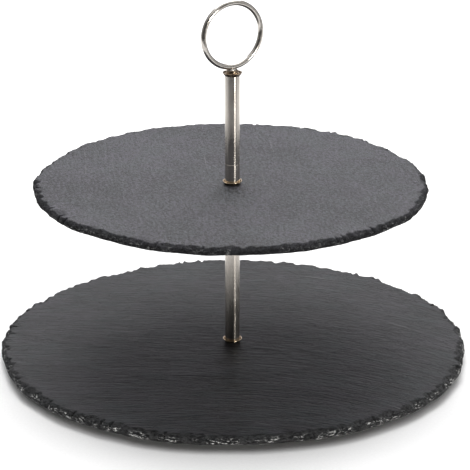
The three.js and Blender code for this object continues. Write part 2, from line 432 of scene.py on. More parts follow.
class Graph:
    """A material's or world's nodes, added one call at a time."""

    def __init__(self, tree: bpy.types.NodeTree) -> None:
        """Starts on an empty tree."""
        self.tree = tree
        self.tree.nodes.clear()

    def add(
        self, kind: str, sockets: Mapping[str | int, object] | None = None, **settings: object
    ) -> bpy.types.Node:
        """Adds a node.

        Args:
            kind: The node's type, without its leading ShaderNode.
            sockets: What goes into its sockets: another node's output, or a plain value.
            **settings: The node's own settings.

        Returns:
            The node.
        """
        node = self.tree.nodes.new("ShaderNode" + kind)
        for name, value in settings.items():
            setattr(node, name, value)
        for key, value in (sockets or {}).items():
            if isinstance(value, Socket):
                self.tree.links.new(value, node.inputs[key])
            else:
                node.inputs[key].default_value = value
        return node

    def place(self, scale: tuple[float, float, float] = (1, 1, 1), turn: float = 0.0) -> Socket:
        """The point on the piece, in millimetres, turned about Z and then stretched.

        Args:
            scale: How much each axis counts.
            turn: The turn, in degrees.

        Returns:
            The vector output.
        """
        point = self.add("TexCoord").outputs["Object"]
        angle = math.radians(turn)
        rotated = self.add("VectorRotate", {"Vector": point, "Angle": angle}, rotation_type="Z_AXIS")
        sizes = tuple(value / MM for value in scale)
        return self.add("VectorMath", {0: rotated.outputs[0], 1: sizes}, operation="MULTIPLY").outputs[0]

    def noise(self, place: Socket, texture: Texture) -> Socket:
        """Reads a texture at a place: about 0.5 in the middle, more or less at the bumps."""
        names = ("Scale", "Detail", "Roughness", "Distortion")
        return self.add("TexNoise", {"Vector": place, **dict(zip(names, texture))}).outputs["Fac"]

    def remap(
        self, value: Socket, low: float, high: float, to_low: float = 0.0, to_high: float = 1.0
    ) -> Socket:
        """Eases a value from one range to another, held at both ends."""
        sockets = {"Value": value, "From Min": low, "From Max": high, "To Min": to_low, "To Max": to_high}
        return self.add("MapRange", sockets, interpolation_type="SMOOTHSTEP").outputs[0]

    def math(self, operation: str, one: object, other: object = 0.0, held: bool = False) -> Socket:
        """Does arithmetic on two values, held between 0 and 1 if asked."""
        return self.add("Math", {0: one, 1: other}, operation=operation, use_clamp=held).outputs[0]

    def total(self, *parts: tuple[Socket, float]) -> Socket:
        """Adds up values, each multiplied by a weight.

        Args:
            *parts: Each value and its weight.

        Returns:
            The value output.
        """
        added = self.math("MULTIPLY", *parts[0])
        for value, weight in parts[1:]:
            added = self.add("Math", {0: value, 1: weight, 2: added}, operation="MULTIPLY_ADD").outputs[0]
        return added

    def blend(self, share: object, one: object, other: object) -> Socket:
        """Mixes two colours, each a colour or an output."""
        one, other = (colour4(value) if isinstance(value, tuple) else value for value in (one, other))
        return self.add("Mix", {0: share, 6: one, 7: other}, data_type="RGBA").outputs[2]

    def bump(self, height: Socket, depth_mm: float, under: Socket | None = None) -> Socket:
        """Turns a height from 0 to 1 into a normal.

        Args:
            height: The height.
            depth_mm: How deep a height of 1 is.
            under: A normal that this one is laid over.

        Returns:
            The normal output.
        """
        sockets: dict[str | int, object] = {"Height": height, "Distance": depth_mm * MM, "Strength": 1.0}
        if under is not None:
            sockets["Normal"] = under
        return self.add("Bump", sockets).outputs[0]

    def surface(self, **sockets: object) -> None:
        """Ends a material with its one shader; each argument names a socket, with _ for a space."""
        named = {key.replace("_", " ").replace("Colour", "Color"): value for key, value in sockets.items()}
        shader = self.add("BsdfPrincipled", named)
        self.add("OutputMaterial", {"Surface": shader.outputs[0]})


@dataclass(frozen=True)
class Finish:
    """A finish that pieces share. Each kind builds its own nodes."""

    name: str

    def dress(self, graph: Graph) -> None:
        """Adds the finish's nodes to an empty material."""
        raise NotImplementedError

    def material(self) -> bpy.types.Material:
        """The finish's material, built the first time it is asked for.

        Returns:
            The material.
        """
        made = bpy.data.materials.get(self.name)
        if made is None:
            made = bpy.data.materials.new(self.name)
            made.use_nodes = True
            self.dress(Graph(made.node_tree))
        return made


@dataclass(frozen=True)
class RivenSlate(Finish):
    """Slate split along its bedding: fine grain, long ripples, and a broken rim where the mesh says so."""

    bedding_turn: float
    dark: Colour
    light: Colour
    drift: Colour
    sheen: float
    ripple_length: float
    ripple_per_mm: float
    ripple_depth_mm: float
    grain_depth_mm: float
    ledge_depth_mm: float
    ripple_tone: float
    grain_tone: float
    # painted highlights: how strongly near-white glints are painted on the rim
    painted_rim_glints: float
    bedding_curve: float = 0.0
    cloud_tone: float = 0.25
    crumble_depth_mm: float = 0.5
    gloss: tuple[float, float] = (0.46, 0.62)
    broken_sheen: float = 0.12
    fracture: Colour = (0.007, 0.007, 0.0078)
    broken_light: Colour = (0.022, 0.022, 0.024)
    dust: Colour = (0.20, 0.20, 0.205)
    # the near-white colour of the painted glints, highlights painted into the rim's base colour
    painted_glint: Colour = (0.55, 0.55, 0.54)
    rim_stretch: float = 50.0
    scratches: float = 0.5
    cloud: Texture = Texture(0.022, 4.0, 0.6, 0.6)
    grain: Texture = Texture(0.55, 5.0, 0.72, 0.2)
    crumble: Texture = Texture(0.95, 5.0, 0.72, 0.5)
    dusting: Texture = Texture(0.30, 6.0, 0.75, 0.4)
    drifting: Texture = Texture(0.05, 2.0, 0.55)
    scratching: Texture = Texture(0.5, 2.0, 0.4)
    scratched: Texture = Texture(0.03, 2.0, 0.55)
    # where on the rim the painted glints gather
    painted_glint_texture: Texture = Texture(0.11, 3.0, 0.55)

    def bedded(self, graph: Graph, length: float, turn: float = 0.0) -> Socket:
        """The point along and across the bedding, which curves away on one side.

        Args:
            graph: The material's nodes.
            length: How much the way along the bedding counts.
            turn: An extra turn, in degrees.

        Returns:
            The vector output, in millimetres.
        """
        level = graph.place(turn=self.bedding_turn + turn)
        parts = graph.add("SeparateXYZ", {0: level}).outputs
        ahead = graph.math("MAXIMUM", parts[0], 0.0)
        curve = graph.math("MULTIPLY", graph.math("MULTIPLY", ahead, ahead), self.bedding_curve)
        across = graph.math("ADD", parts[1], curve)
        along = graph.math("MULTIPLY", parts[0], length)
        return graph.add("CombineXYZ", {0: along, 1: across, 2: parts[2]}).outputs[0]

    def round_the_rim(self, graph: Graph) -> Socket:
        """The point on the piece in steps round, out and up, so that marks on the rim run along it.

        Args:
            graph: The material's nodes.

        Returns:
            The vector output, in millimetres.
        """
        parts = graph.add("SeparateXYZ", {0: graph.place()}).outputs
        turn = graph.math("ARCTAN2", parts[1], parts[0])
        flat = graph.add("CombineXYZ", {0: parts[0], 1: parts[1]}).outputs[0]
        reach = graph.add("VectorMath", {0: flat}, operation="LENGTH").outputs["Value"]
        along = graph.math("MULTIPLY", turn, self.rim_stretch)
        return graph.add("CombineXYZ", {0: along, 1: reach, 2: parts[2]}).outputs[0]

    def dress(self, graph: Graph) -> None:
        """Mixes tone, ripples, grain, dust, the broken rim's own colour, and painted highlights: near-white
        glints on the rim.

        Args:
            graph: The material's nodes.
        """
        level = graph.place(turn=self.bedding_turn)
        broken = graph.add("Attribute", attribute_name="broken").outputs["Fac"]

        cloud = graph.noise(level, self.cloud)
        grain = graph.noise(level, self.grain)
        crumble = graph.noise(self.round_the_rim(graph), self.crumble)
        waves = Texture(self.ripple_per_mm, 4.0, 0.62, 0.35)
        ripple = graph.noise(self.bedded(graph, self.ripple_length), waves)
        ledges = Texture(1.3 * self.ripple_per_mm, 3.0, 0.6, 0.5)
        edges = self.bedded(graph, 1.6 * self.ripple_length, 4.0)
        ledge = graph.remap(graph.noise(edges, ledges), 0.47, 0.53)

        tone = graph.total(
            (graph.remap(cloud, 0.3, 0.7), self.cloud_tone),
            (graph.remap(ripple, 0.34, 0.66), self.ripple_tone),
            (graph.remap(grain, 0.34, 0.66), self.grain_tone),
        )
        most = self.cloud_tone + self.ripple_tone + self.grain_tone
        drifted = graph.remap(graph.noise(level, self.drifting), 0.42, 0.58)
        tint = graph.blend(drifted, self.light, self.drift)
        face = graph.blend(graph.remap(tone, 0.22 * most, 0.78 * most), self.dark, tint)
        fracture = graph.blend(graph.remap(crumble, 0.38, 0.62), self.fracture, self.broken_light)
        body = graph.blend(graph.math("MULTIPLY", broken, 0.95), face, fracture)
        dusting = graph.noise(level, self.dusting)
        dusted = graph.blend(graph.remap(dusting, 0.64, 0.74, 0.0, 0.35), body, self.dust)
        line = graph.remap(graph.noise(self.bedded(graph, 0.02, 9.0), self.scratching), 0.69, 0.73)
        patch = graph.remap(graph.noise(level, self.scratched), 0.5, 0.62, 0.0, self.scratches)
        marked = graph.blend(graph.math("MULTIPLY", line, patch), dusted, self.dust)
        # Painted highlights: near-white glints on the deeper breaks of the rim stand in for light catching
        # the facets.
        painted_glint_patches = graph.remap(graph.noise(level, self.painted_glint_texture), 0.42, 0.56)
        painted_sparkle = graph.math("MULTIPLY", graph.remap(crumble, 0.54, 0.63, 0.0, self.painted_rim_glints), painted_glint_patches)
        painted_glints = graph.math("MULTIPLY", painted_sparkle, graph.remap(broken, 0.64, 0.85))
        colour = graph.blend(painted_glints, marked, self.painted_glint)

        gloss = graph.total((ripple, 0.5), (grain, 0.5))
        matt = graph.math("MULTIPLY", broken, 0.2)
        roughness = graph.math("ADD", graph.remap(gloss, 0.36, 0.64, *self.gloss), matt)
        rippled = graph.bump(ripple, self.ripple_depth_mm)
        ledged = graph.bump(ledge, self.ledge_depth_mm, rippled)
        grained = graph.bump(grain, self.grain_depth_mm, ledged)
        normal = graph.bump(graph.math("MULTIPLY", crumble, broken), self.crumble_depth_mm, grained)
        graph.surface(
            Base_Colour=colour,
            Roughness=roughness,
            Normal=normal,
            IOR=1.5,
            Specular_IOR_Level=graph.remap(broken, 0.0, 1.0, self.sheen, self.broken_sheen),
        )


@dataclass(frozen=True)
class BrushedSteel(Finish):
    """Stainless steel tube brushed round its axis, with faint smears."""

    tint: Colour = (0.66, 0.62, 0.57)
    worn: Colour = (0.54, 0.50, 0.45)
    anisotropy: float = 0.84
    line_depth_mm: float = 0.0004

    def dress(self, graph: Graph) -> None:
        """Mixes brush lines and smears, and spreads the gloss along the tube.

        Args:
            graph: The material's nodes.
        """
        lines = graph.noise(graph.place((0.05, 0.05, 4.0)), Texture(1.0))
        smears = graph.noise(graph.place((1.0, 1.0, 0.3)), Texture(0.14))
        tone = graph.remap(graph.total((lines, 0.5), (smears, 0.5)), 0.36, 0.64)
        graph.surface(
            Base_Colour=graph.blend(tone, self.worn, self.tint),
            Metallic=1.0,
            Roughness=graph.remap(smears, 0.35, 0.65, 0.20, 0.25),
            Normal=graph.bump(lines, self.line_depth_mm),
            Tangent=graph.add("Tangent", direction_type="RADIAL", axis="Z").outputs[0],
            Anisotropic=self.anisotropy,
            Anisotropic_Rotation=0.25,
        )


@dataclass(frozen=True)
class PlatedMetal(Finish):
    """Bright plated or polished metal, with faint ripples, smudges and darker grime where it is worn."""

    tint: Colour
    dull: Colour
    roughness: float
    smudge: float = 0.1
    wave_mm: float = 0.02

    def dress(self, graph: Graph) -> None:
        """Mixes smudges into the polish and lays a slight waviness over it.

        Args:
            graph: The material's nodes.
        """
        point = graph.place()
        smudges = graph.noise(point, Texture(0.35, 4.0, 0.6, 0.5))
        specks = graph.noise(point, Texture(3.0))
        tone = graph.remap(graph.total((smudges, 0.7), (specks, 0.3)), 0.38, 0.62)
        colour = graph.blend(tone, self.dull, self.tint)
        roughness = graph.remap(smudges, 0.4, 0.7, self.roughness, self.roughness + self.smudge)
        normal = graph.bump(graph.total((smudges, 0.6), (specks, 0.15)), self.wave_mm)
        graph.surface(Base_Colour=colour, Metallic=1.0, Roughness=roughness, Normal=normal)


@dataclass(frozen=True)
class Moulded(Finish):
    """A soft matt solid, rubber or pressed fibre, with a fine surface texture."""

    dark: Colour
    light: Colour
    grain_per_mm: float
    grain_depth_mm: float
    stretch: tuple[float, float, float] = (1.0, 1.0, 1.0)

    def dress(self, graph: Graph) -> None:
        """Mixes a fine texture and a little dust.

        Args:
            graph: The material's nodes.
        """
        grain = graph.noise(graph.place(self.stretch), Texture(self.grain_per_mm, 4.0, 0.65))
        dust = graph.noise(graph.place(), Texture(0.4, 4.0))
        tone = graph.total((grain, 0.6), (dust, 0.5))
        colour = graph.blend(graph.remap(tone, 0.42, 0.72), self.dark, self.light)
        roughness = graph.remap(dust, 0.35, 0.7, 0.72, 0.9)
        normal = graph.bump(grain, self.grain_depth_mm)
        graph.surface(Base_Colour=colour, Roughness=roughness, Normal=normal)


@dataclass(frozen=True)
class FloorPaper(Finish):
    """Seamless white background paper."""

    dark: Colour = (0.94, 0.94, 0.94)
    light: Colour = (0.97, 0.97, 0.97)

    def dress(self, graph: Graph) -> None:
        """A near white with the faintest fibre.

        Args:
            graph: The material's nodes.
        """
        fibre = graph.noise(graph.place(), Texture(0.6, 3.0, 0.55))
        colour = graph.blend(graph.remap(fibre, 0.3, 0.7), self.dark, self.light)
        graph.surface(Base_Colour=colour, Roughness=0.9, Specular_IOR_Level=0.1)


LOWER_STONE = RivenSlate(
    "riven_slate_lower",
    bedding_turn=32.0,
    bedding_curve=0.0026,
    dark=(0.003, 0.003, 0.0035),
    light=(0.032, 0.0308, 0.0360),
    drift=(0.0265, 0.0312, 0.0332),
    fracture=(0.008, 0.008, 0.0085),
    broken_light=(0.068, 0.068, 0.069),
    ripple_length=0.13,
    ripple_per_mm=0.42,
    ripple_depth_mm=0.9,
    grain_depth_mm=0.35,
    ledge_depth_mm=0.25,
    gloss=(0.42, 0.56),
    sheen=0.28,
    # painted glints: near-white highlight colour, painted at full strength on this rim
    painted_glint=(0.86, 0.86, 0.84),
    ripple_tone=0.7,
    grain_tone=0.4,
    painted_rim_glints=1.0,
)
UPPER_STONE = RivenSlate(
    "riven_slate_upper",
    bedding_turn=106.0,
    dark=(0.010, 0.010, 0.0118),
    light=(0.080, 0.0768, 0.0930),
    drift=(0.074, 0.0780, 0.0875),
    sheen=0.38,
    ripple_length=0.4,
    ripple_per_mm=0.62,
    ripple_depth_mm=0.5,
    grain_depth_mm=0.55,
    ledge_depth_mm=0.3,
    ripple_tone=0.6,
    grain_tone=0.8,
    scratches=0.25,
    # fewer painted glints, highlights painted on the upper rim
    painted_rim_glints=0.35,
)
TUBE_STEEL = BrushedSteel("brushed_tube_steel")
WARM_NICKEL = PlatedMetal("warm_nickel_plate", (0.74, 0.61, 0.45), (0.40, 0.30, 0.19), 0.14)
AGED_NICKEL = PlatedMetal("aged_nickel_plate", (0.50, 0.40, 0.29), (0.10, 0.07, 0.045), 0.2)
RING_STEEL = PlatedMetal("polished_ring_steel", (0.60, 0.57, 0.53), (0.46, 0.43, 0.395), 0.13, wave_mm=0.01)
ZINC = PlatedMetal("zinc_plate", (0.62, 0.63, 0.64), (0.42, 0.43, 0.44), 0.26, smudge=0.18)
BRASS = PlatedMetal("turned_brass", (0.72, 0.53, 0.24), (0.5, 0.35, 0.14), 0.24, smudge=0.14)
FIBRE = Moulded("pressed_fibre", (0.010, 0.009, 0.008), (0.03, 0.027, 0.024), 3.0, 0.03, (1.0, 1.0, 0.4))
RUBBER = Moulded("foot_rubber", (0.010, 0.010, 0.011), (0.028, 0.028, 0.030), 1.6, 0.05)
PAPER = FloorPaper("background_paper")


# --- Pieces ---------------------------------------------------------------------------------------


class Slot(Enum):
    """The record's material slots."""

    SLATE = "slate"
    BRUSHED_STEEL = "brushed_steel"
    NICKEL = "nickel"
    POLISHED_STEEL = "polished_steel"
    BRASS = "brass"
    ZINC_STEEL = "zinc_steel"
    FIBRE = "fibre"
    RUBBER = "rubber"


class Body(Enum):
    """The frame's moving bodies."""

    BASE = "base"
    BOLT_WASHER = "bolt_washer"
    BOLT = "bolt"
    UPPER_TIER = "upper_tier"
    POST_WASHER = "post_washer"
    UPPER_POST = "upper_post"
    RING_WASHER = "ring_washer"
    RING = "ring"


class Span(NamedTuple):
    """The room a frame node takes, in millimetres: its middle, its widest radius and its two levels."""

    x: float
    y: float
    radius: float
    bottom: float
    top: float


def span_of(node: str) -> Span:
    """Reads the room that a frame node takes.

    Args:
        node: The node's name.

    Returns:
        Its middle, radius and levels.
    """
    low, high = (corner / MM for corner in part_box(node))
    middle = (low + high) / 2
    return Span(middle.x, middle.y, (high.x - low.x) / 2, low.z, high.z)


def settle(piece: Piece, node: str | None, body: Body, finish: Finish) -> Piece:
    """Dresses a piece and puts it in its frame node's stead.

    Args:
        piece: The finished mesh, in place.
        node: The frame node that it stands for, if it stands for one.
        body: The body that it rides on.
        finish: Its finish.

    Returns:
        The piece.
    """
    piece.data.materials.append(finish.material())
    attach(piece, body.value)
    if node is not None:
        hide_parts(node)
    log.info("%s on %s: %d faces", piece.name, body.value, len(piece.data.polygons))
    return piece


@dataclass
class Chips:
    """Flakes struck off a slate's rim. Each array has one number for each, in millimetres or radians."""

    angle: Array
    half_width: Array
    reach: Array
    depth: Array
    bite: Array
    crispness: float

    def cut(self, angles: Array, inward: Array, radius: float) -> Array:
        """How deep the flakes cut below the top face.

        Args:
            angles: Where round the rim.
            inward: How far in from the outline.
            radius: The slate's radius.

        Returns:
            The deepest cut at each point.
        """
        deepest = np.zeros_like(angles)
        for angle, half_width, reach, depth in zip(self.angle, self.half_width, self.reach, self.depth):
            along = arc_between(angles, angle) * radius
            core = 1 - inward / reach - (along / half_width) ** 2
            deepest = np.maximum(deepest, depth * np.clip(core, 0.0, 1.0) ** self.crispness)
        return deepest

    def bites(self, angles: Array, radius: float) -> Array:
        """How far the flakes eat into the outline at each angle.

        Args:
            angles: Where round the rim.
            radius: The slate's radius.

        Returns:
            The deepest bite at each angle.
        """
        deepest = np.zeros_like(angles)
        for angle, half_width, bite in zip(self.angle, self.half_width, self.bite):
            along = arc_between(angles, angle) * radius
            deepest = np.maximum(deepest, bite * np.clip(1 - (along / half_width) ** 2, 0.0, 1.0))
        return deepest


@dataclass
class Slate:
    """A round slate with a riven face and a rim dressed flake by flake. Sizes are in millimetres."""

    node: str
    body: Body
    finish: RivenSlate
    seed: int
    bevel: float
    chip_spacing: float = 6.0
    hole_radius: float = 3.25
    rim_points: int = 1152
    rim_step: float = 0.36
    rim_band: float = 9.0
    face_step: float = 1.6
    back_step: float = 4.0
    undercut: float = 0.7
    spare: float = 0.5
    wear: float = 1.3
    layer: float = 0.55
    steps: float = 2.6  # how many steps the face goes up and down by
    step_height: float = 0.13
    swell: float = 0.07
    ripple: float = 0.035
    back_swell: float = 0.12
    relief_depth: float = 0.35
    flat_round_hole: float = 9.0
    deepest_cut: float = 0.9  # of the thickness
    knocked_depth: float = 0.42  # of the thickness
    knocked_reach: float = 0.4  # of the bevel
    fray: float = 0.4
    spall: float = 0.35
    scale_spacing: float = 17.0
    notches: tuple[tuple[float, float], ...] = ()  # each one's angle in degrees and how far in it runs
    notch_width: float = 3.4
    notch_bite: float = 1.6

    noise: GradientNoise = field(init=False)
    known_angles: Array = field(init=False)
    known_radii: Array = field(init=False)
    chips: Chips = field(init=False)
    scales: Chips = field(init=False)
    bottom: float = field(init=False)
    top: float = field(init=False)
    radius: float = field(init=False)

    def __post_init__(self) -> None:
        """Reads the slate's size and outline from the frame and strikes its chips."""
        span = span_of(self.node)
        self.bottom, self.top, self.radius = span.bottom, span.top, span.radius
        self.noise = GradientNoise(self.seed)
        self.known_angles, self.known_radii = self.read_outline()
        self.chips, self.scales = self.strike_chips(), self.strike_scales()

    @property
    def thickness(self) -> float:
        """The slate's thickness."""
        return self.top - self.bottom

    def read_outline(self) -> tuple[Array, Array]:
        """Reads the frame node's widest ring of corners.

        Returns:
            The corners' angles about the post, rising, and their radii.
        """
        points = np.array([vertex.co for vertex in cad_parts[self.node].data.vertices]) / MM
        reach = np.hypot(points[:, 0], points[:, 1])
        outer = points[reach > 0.5 * self.radius]

        def at_level(level: float) -> Array:
            """The corners at one height."""
            return outer[np.abs(outer[:, 2] - level) < 0.02]

        levels = np.unique(np.round(outer[:, 2], 2))
        ring = at_level(max(levels, key=lambda level: np.hypot(*at_level(level)[:, :2].T).mean()))
        angles = np.arctan2(ring[:, 1], ring[:, 0]) % TAU
        rising = np.unique(np.round(angles, 5), return_index=True)[1]
        return angles[rising], np.hypot(ring[rising, 0], ring[rising, 1])

    def outline(self, angles: Array) -> Array:
        """The slate's radius at each angle, with the chips' bites taken out.

        Args:
            angles: Angles about the post.

        Returns:
            Radii, at most a little past the frame's own outline.
        """
        plain = np.interp(angles, self.known_angles, self.known_radii, period=TAU)
        fray = self.fray * np.abs(self.noise.fractal(angles * self.radius / 1.6, 4.5, 2))
        worn = self.wear / self.radius
        bites = sum(self.chips.bites(angles + turn, self.radius) for turn in (-worn, 0.0, worn)) / 3
        return plain + self.spare - bites - fray

    def spread(self, draw: np.random.Generator, spacing: float) -> Array:
        """Angles round the rim, unevenly spaced but with this usual distance from one to the next."""
        steps = draw.uniform(0.55, 1.45, round(TAU * self.radius / spacing))
        return np.cumsum(steps) / steps.sum() * TAU

    def strike_chips(self) -> Chips:
        """Strikes the flakes that make the rim's bevel.

        Returns:
            The flakes, with the notches last.
        """
        draw = np.random.default_rng(self.seed + 1)
        angle = self.spread(draw, self.chip_spacing)
        count = len(angle)
        narrow = draw.random(count) < 0.12
        thin = draw.uniform(1.2, 2.2, count)
        half_width = np.where(narrow, thin, self.chip_spacing * draw.uniform(0.85, 1.5, count))
        reach = self.bevel * np.where(narrow, draw.uniform(1.1, 1.7, count), draw.uniform(0.6, 1.45, count))
        depth = self.thickness * draw.uniform(0.62, 0.84, count)
        bite = 0.95 * draw.random(count) ** 1.8
        notch_angle = np.radians([turn for turn, _ in self.notches])
        notch_reach = np.array([length for _, length in self.notches])
        full = np.ones(len(self.notches))
        return Chips(
            np.append(angle, notch_angle),
            np.append(half_width, self.notch_width / 2 * full),
            np.append(reach, notch_reach),
            np.append(depth, 0.85 * self.thickness * full),
            np.append(bite, self.notch_bite * full),
            crispness=1.15,
        )

    def strike_scales(self) -> Chips:
        """Strikes the thin scales that lifted off the face behind the bevel.

        Returns:
            The scales.
        """
        draw = np.random.default_rng(self.seed + 2)
        angle = self.spread(draw, self.scale_spacing)
        count = len(angle)
        half_width = draw.uniform(5.0, 14.0, count)
        reach = self.bevel + draw.uniform(0.5, 4.5, count)
        depth = draw.uniform(0.2, 0.55, count)
        return Chips(angle, half_width, reach, depth, np.zeros(count), crispness=0.22)

    def relief(self, x: Array, y: Array) -> Array:
        """The riven face's height below its highest level, which is 0.

        Args:
            x: Points' first coordinates.
            y: Points' second coordinates.

        Returns:
            Heights of 0 or less.
        """
        turn = math.radians(self.finish.bedding_turn)
        along = x * math.cos(turn) - y * math.sin(turn)
        across = x * math.sin(turn) + y * math.cos(turn)
        plates = self.steps * self.noise.fractal(along / 95, across / 34, 4, 0.55)
        steps = np.floor(plates) + smooth(plates - np.floor(plates), 0.72, 1.0)
        swell = self.noise.fractal(along / 26, across / 9, 3) - self.noise.HIGHEST
        ripple = self.noise.fractal(along / 30 + 9.1, across / 4.2, 2) - self.noise.HIGHEST
        height = self.step_height * (steps - 1.0) + self.swell * swell + self.ripple * ripple
        return np.clip(height, -self.relief_depth, 0.0) * self.off_hole(np.hypot(x, y))

    def off_hole(self, radii: Array) -> Array:
        """0 where the face is flat round the hole, rising to 1 further out."""
        return smooth(radii, self.flat_round_hole, 2 * self.flat_round_hole)

    def struck(self, angles: Array, inward: Array) -> Array:
        """How deep the rim is cut, by its flakes or at least by the edge being knocked off between them.

        Args:
            angles: Where round the rim.
            inward: How far in from the outline.

        Returns:
            The cut at each point.
        """
        share = np.clip(1 - inward / (self.knocked_reach * self.bevel), 0.0, 1.0)
        knocked = self.knocked_depth * self.thickness * share
        return np.maximum(self.chips.cut(angles, inward, self.radius), knocked)

    def top_ring(self, skin: RingSkin, angles: Array, radii: Array, inward: Array) -> Array:
        """Adds a ring of the top face or the bevel.

        Args:
            skin: The surface so far.
            angles: The ring's angles.
            radii: Its radii.
            inward: How far each point is in from the outline.

        Returns:
            How broken the stone is at each point, from 0 to 1.
        """
        x, y = spun(radii, angles)
        height = self.top + self.relief(x, y)
        near = inward < self.rim_band + 3
        cut = np.zeros_like(angles)
        if near.any():
            chipped = self.struck(angles, inward)
            layers = (chipped + 0.3 * self.layer * self.noise.at(x / 2.2, y / 2.2)) / self.layer
            stairs = (np.floor(layers) + smooth(layers % 1.0, 0.35, 0.85)) * self.layer
            chipped = np.where(chipped > 0, 0.45 * chipped + 0.55 * np.clip(stairs, 0, None), 0)
            lumps = 0.8 * self.noise.fractal(x / 2.4, y / 2.4, 3, 0.6) + 0.9 * self.noise.at(x / 5, y / 5)
            rough = chipped + smooth(chipped, 0.05, 0.5) * lumps
            cut = np.clip(rough, 0, self.deepest_cut * self.thickness)
            cut = np.maximum(cut, self.scales.cut(angles, inward, self.radius))
        skin.ring(x, y, np.minimum(height, self.top - cut))
        deep = smooth(cut, 0.25 * self.thickness, 0.6 * self.thickness)
        return smooth(cut, 0.1, 0.6) * (0.65 + 0.35 * deep)

    def counts(self, radius: float) -> int:
        """How many points a ring of the face has: half as many each time the radius halves.

        Args:
            radius: How far out the ring is.

        Returns:
            The number of points.
        """
        halvings = 1
        while radius < self.radius / 2**halvings and halvings < 5:
            halvings += 1
        return self.rim_points // 2**halvings

    def face_radii(self, step: float, edge: float) -> Array:
        """Shares of the way from the hole to the edge, for rings a step apart."""
        return np.linspace(0.0, 1.0, round((edge - self.hole_radius) / step) + 1)

    def build(self) -> Piece:
        """Makes the slate: underside outwards, up the rim, and back in along the top.

        Returns:
            The dressed slate.
        """
        skin = RingSkin()
        broken: list[Array] = []

        def face_ring(share: float) -> tuple[Array, Array, Array]:
            """Places a ring of the face that is part of the way from the hole to the rim.

            Args:
                share: 0 at the hole and 1 at the rim.

            Returns:
                The ring's angles, the outline there and the ring's radii.
            """
            angles = circle(self.counts(self.hole_radius + share * (back_edge - self.hole_radius)))
            rim = self.outline(angles)
            return angles, rim, self.hole_radius + share * (rim - self.rim_band - self.hole_radius)

        back_edge = self.radius - self.rim_band
        for share in self.face_radii(self.back_step, back_edge):
            angles, _, radii = face_ring(share)
            x, y = spun(radii, angles)
            swell = self.noise.fractal(x / 21, y / 33, 3) + self.noise.HIGHEST
            skin.ring(x, y, self.bottom + self.back_swell * swell * self.off_hole(radii))
            broken.append(np.zeros(len(angles)))

        angles = circle(self.rim_points)
        edge = self.outline(angles)
        for inward in (5.0, 2.4, 1.2):
            skin.ring(*spun(edge - inward, angles), self.bottom + 0.05)
            broken.append(np.full(len(angles), 0.2))
        rim_height = self.rim_height(angles)
        for share in (0.0, 0.3, 0.65):
            flaked = self.noise.fractal(angles * self.radius / 3.1, 9 * share, 3)
            spall = self.spall * np.abs(flaked)
            radii = edge - self.undercut * (1 - share) ** 1.5 - spall * (1 - share)
            skin.ring(*spun(radii, angles), self.bottom + share * rim_height + 0.1 * spall)
            broken.append(np.ones(len(angles)))

        for inward in np.arange(0.0, self.rim_band, self.rim_step):
            broken.append(self.top_ring(skin, angles, edge - inward, np.full(len(angles), inward)))
        for share in self.face_radii(self.face_step, back_edge)[::-1]:
            angles, rim, radii = face_ring(share)
            broken.append(self.top_ring(skin, angles, radii, rim - radii))
        skin.close()

        slate = skin.make("fine_" + self.node, sharp_degrees=55.0)
        mark = slate.data.attributes.new("broken", "FLOAT", "POINT")
        mark.data.foreach_set("value", np.concatenate(broken).astype(np.float32))
        return settle(slate, self.node, self.body, self.finish)

    def rim_height(self, angles: Array) -> Array:
        """The height of the rim's sharpest line above the underside at each angle."""
        cut = self.struck(angles, np.zeros_like(angles))
        return self.thickness - np.clip(cut, 0, self.deepest_cut * self.thickness)


@dataclass
class TurnedPiece:
    """A piece turned about an upright axis, in its frame node's stead. Sizes are in millimetres."""

    node: str
    body: Body
    slot: Slot
    finish: Finish
    segments: int = 96
    middle: tuple[float, float] = (0.0, 0.0)

    def section(self, span: Span) -> list[Row]:
        """The piece's section within its node's room."""
        raise NotImplementedError

    def build(self) -> Piece:
        """Makes the piece.

        Returns:
            The dressed piece.
        """
        made = turned("fine_" + self.node, self.section(span_of(self.node)), self.segments, self.middle)
        return settle(made, self.node, self.body, self.finish)


@dataclass
class Tube(TurnedPiece):
    """One length of the post, some with a seam groove turned into it."""

    slot: Slot = Slot.BRUSHED_STEEL
    finish: Finish = TUBE_STEEL
    segments: int = 144
    wall: float = 1.0
    chamfer: float = 0.3
    seam_height: float | None = None
    seam_depth: float = 0.15

    def section(self, span: Span) -> list[Row]:
        """From its foot up the outside and down the bore.

        Args:
            span: The room its node takes.

        Returns:
            The section's rows.
        """
        outer, inner = span.radius, span.radius - self.wall
        corners = [Corner(inner, span.bottom, 0.1), Corner(outer, span.bottom, self.chamfer)]
        if self.seam_height is not None:
            seam, half = span.bottom + self.seam_height, 1.2 * self.seam_depth
            corners += [
                Corner(outer, seam - half, 0.05),
                Corner(outer - self.seam_depth, seam, 0.05),
                Corner(outer, seam + half, 0.05),
            ]
        return rounded([*corners, Corner(outer, span.top, self.chamfer), Corner(inner, span.top, 0.1)])


@dataclass
class ThreadedInsert(TurnedPiece):
    """A brass insert in the end of a tube: knurled outside, threaded inside, chamfered at both mouths."""

    slot: Slot = Slot.BRASS
    finish: Finish = BRASS
    segments: int = 72
    lead: float = 0.5
    plain: float = 0.9
    mouth: float = 0.3

    def section(self, span: Span) -> list[Row]:
        """Up the outside from one mouth to the other, and down the threaded bore.

        Args:
            span: The room its node takes.

        Returns:
            The section's rows.
        """
        bore, outer = THREAD.bore_root + 0.1, span.radius
        knurled = np.linspace(span.bottom + 1, span.top - 1, 4)
        return [
            Row(bore, span.bottom),
            Row(outer - self.lead, span.bottom),
            Row(outer, span.bottom + self.lead),
            Row(outer, span.bottom + self.plain),
            *(Row(outer, float(level), Wall.KNURL) for level in knurled),
            Row(outer, span.top - self.plain),
            Row(outer, span.top - self.lead),
            Row(outer - self.lead, span.top),
            Row(bore, span.top),
            *THREAD.rows(span.top - self.mouth, span.bottom + self.mouth, Wall.BORE_THREAD),
        ]


class Lip(Enum):
    """Which way a cup washer's lip points."""

    UP = 1
    DOWN = -1


